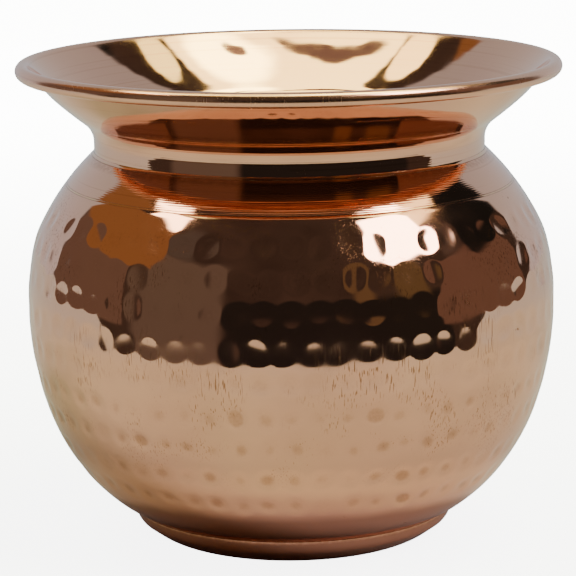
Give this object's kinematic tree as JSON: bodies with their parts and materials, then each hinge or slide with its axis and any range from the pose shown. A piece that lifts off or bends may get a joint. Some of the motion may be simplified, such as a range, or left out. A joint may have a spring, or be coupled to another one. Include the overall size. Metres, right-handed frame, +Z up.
{
  "type": "hammered copper kalash pot",
  "caption": "Round-bellied hammered copper water pot with a flared mouth, a wired rolled rim, a smooth spun neck and a low foot ring.",
  "frame": {"origin": "on the table, at the middle of the foot ring", "axes": "+Z up along the pot's axis of revolution, towards the mouth; the pot is round, so +X and +Y are any two square directions"},
  "size_m": [0.1244, 0.1244, 0.11],
  "materials": {
    "spun_copper": "polished copper with fine turning lines",
    "hammered_copper": "polished copper with round hammer marks",
    "rim_wire": "drawn copper wire",
    "braze": "dressed braze"
  },
  "bodies": {
    "root": {"rim_wire": "rim_wire", "mouth_flare": "spun_copper", "neck_braze": "braze", "shoulder_collar": "spun_copper", "shoulder_braze": "braze", "hammered_bowl": "hammered_copper", "foot_braze": "braze", "foot_ring": "spun_copper"}
  },
  "joints": []
}
